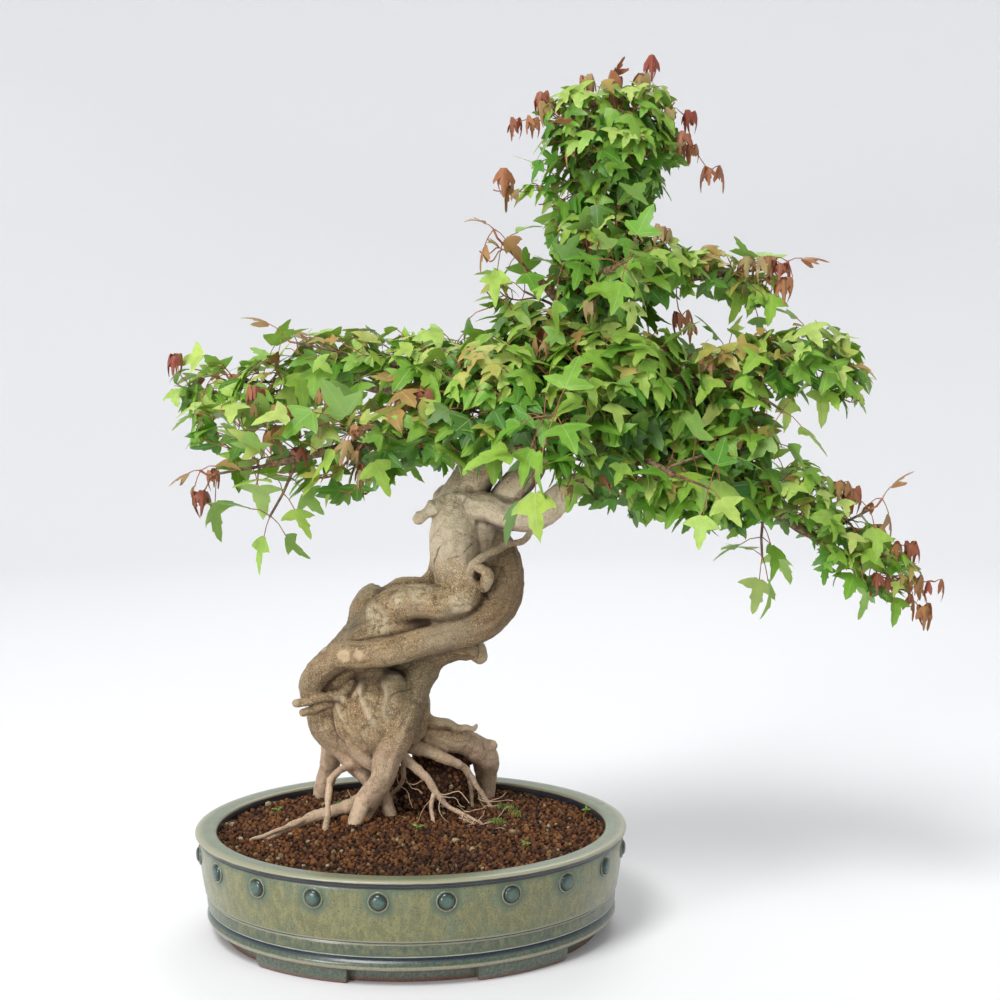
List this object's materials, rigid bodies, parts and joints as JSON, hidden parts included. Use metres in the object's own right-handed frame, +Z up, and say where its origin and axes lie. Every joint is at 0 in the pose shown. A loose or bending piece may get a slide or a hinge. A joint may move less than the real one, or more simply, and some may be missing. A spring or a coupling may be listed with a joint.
{
  "type": "trident maple bonsai in a pot",
  "caption": "Trident maple bonsai with a twisted, fused trunk on exposed roots, a layered leafy crown with a cascading side branch, and a riveted oval glazed pot filled with granular soil.",
  "frame": {"origin": "on the ground, in the plane of the four feet's undersides, under the middle of the whole bonsai's box", "axes": "+X to the right and +Y to the back as seen from the front view in the picture, +Z up along the tree's height"},
  "size_m": [0.6226, 0.3579, 0.698],
  "materials": {
    "green_glaze": "speckled grey-green gloss glaze with a dark blue line under the lip",
    "red_brown_soil": "matt porous clay and lava granules",
    "tan_bark": "smooth to flaky grey-tan bark",
    "leaf_green": "thin, slightly waxy green leaves on fine green twigs",
    "leaf_bronze": "thin, soft young leaves, bronze and red",
    "black_mesh": "moulded mesh"
  },
  "bodies": {
    "root": {"drain_mesh_left": "black_mesh", "drain_mesh_right": "black_mesh", "pot": "green_glaze", "soil": "red_brown_soil", "spray_centre_back_1": "leaf_green", "spray_centre_back_2": "leaf_green", "spray_centre_back_3": "leaf_green", "spray_centre_front_1": "leaf_green", "spray_centre_front_2": "leaf_green", "spray_centre_front_3": "leaf_green", "spray_centre_front_4": "leaf_green", "spray_left_front_1": "leaf_green", "spray_left_front_2": "leaf_green", "spray_left_front_3": "leaf_green", "spray_left_front_4": "leaf_green", "spray_left_middle_1": "leaf_green", "spray_left_middle_2": "leaf_green", "spray_left_rear_1": "leaf_green", "spray_left_rear_2": "leaf_green", "spray_left_rear_3": "leaf_green", "spray_right_back_1": "leaf_green", "spray_right_back_2": "leaf_green", "spray_right_front_1": "leaf_green", "spray_right_front_2": "leaf_green", "spray_right_front_3": "leaf_green", "spray_right_low_1": "leaf_green", "spray_right_low_2": "leaf_green", "spray_right_low_3": "leaf_green", "spray_right_low_4": "leaf_green", "spray_right_low_5": "leaf_green", "spray_right_upper_1": "leaf_green", "spray_right_upper_2": "leaf_green", "spray_right_upper_3": "leaf_green", "spray_right_upper_4": "leaf_green", "spray_tier_back_1": "leaf_green", "spray_tier_back_2": "leaf_green", "spray_tier_front_1": "leaf_green", "spray_tier_front_2": "leaf_green", "spray_tier_left_1": "leaf_green", "spray_tier_left_2": "leaf_green", "spray_tier_right_1": "leaf_green", "spray_tier_right_2": "leaf_green", "spray_upper_leader_1": "leaf_green", "spray_upper_leader_2": "leaf_green", "spray_upper_leader_3": "leaf_green", "spray_upper_leader_4": "leaf_green", "spray_upper_leader_5": "leaf_green", "spray_upper_leader_6": "leaf_green", "spray_upper_leader_7": "leaf_green", "tip_left_front_2": "leaf_bronze", "tip_left_front_4": "leaf_bronze", "tip_left_middle_2": "leaf_bronze", "tip_left_rear_3": "leaf_bronze", "tip_right_low_4": "leaf_bronze", "tip_right_low_5": "leaf_bronze", "tip_tier_left_2": "leaf_bronze", "tip_tier_right_2": "leaf_bronze", "tip_upper_leader_6": "leaf_bronze", "tip_upper_leader_7": "leaf_bronze", "trunk": "tan_bark"}
  },
  "joints": []
}
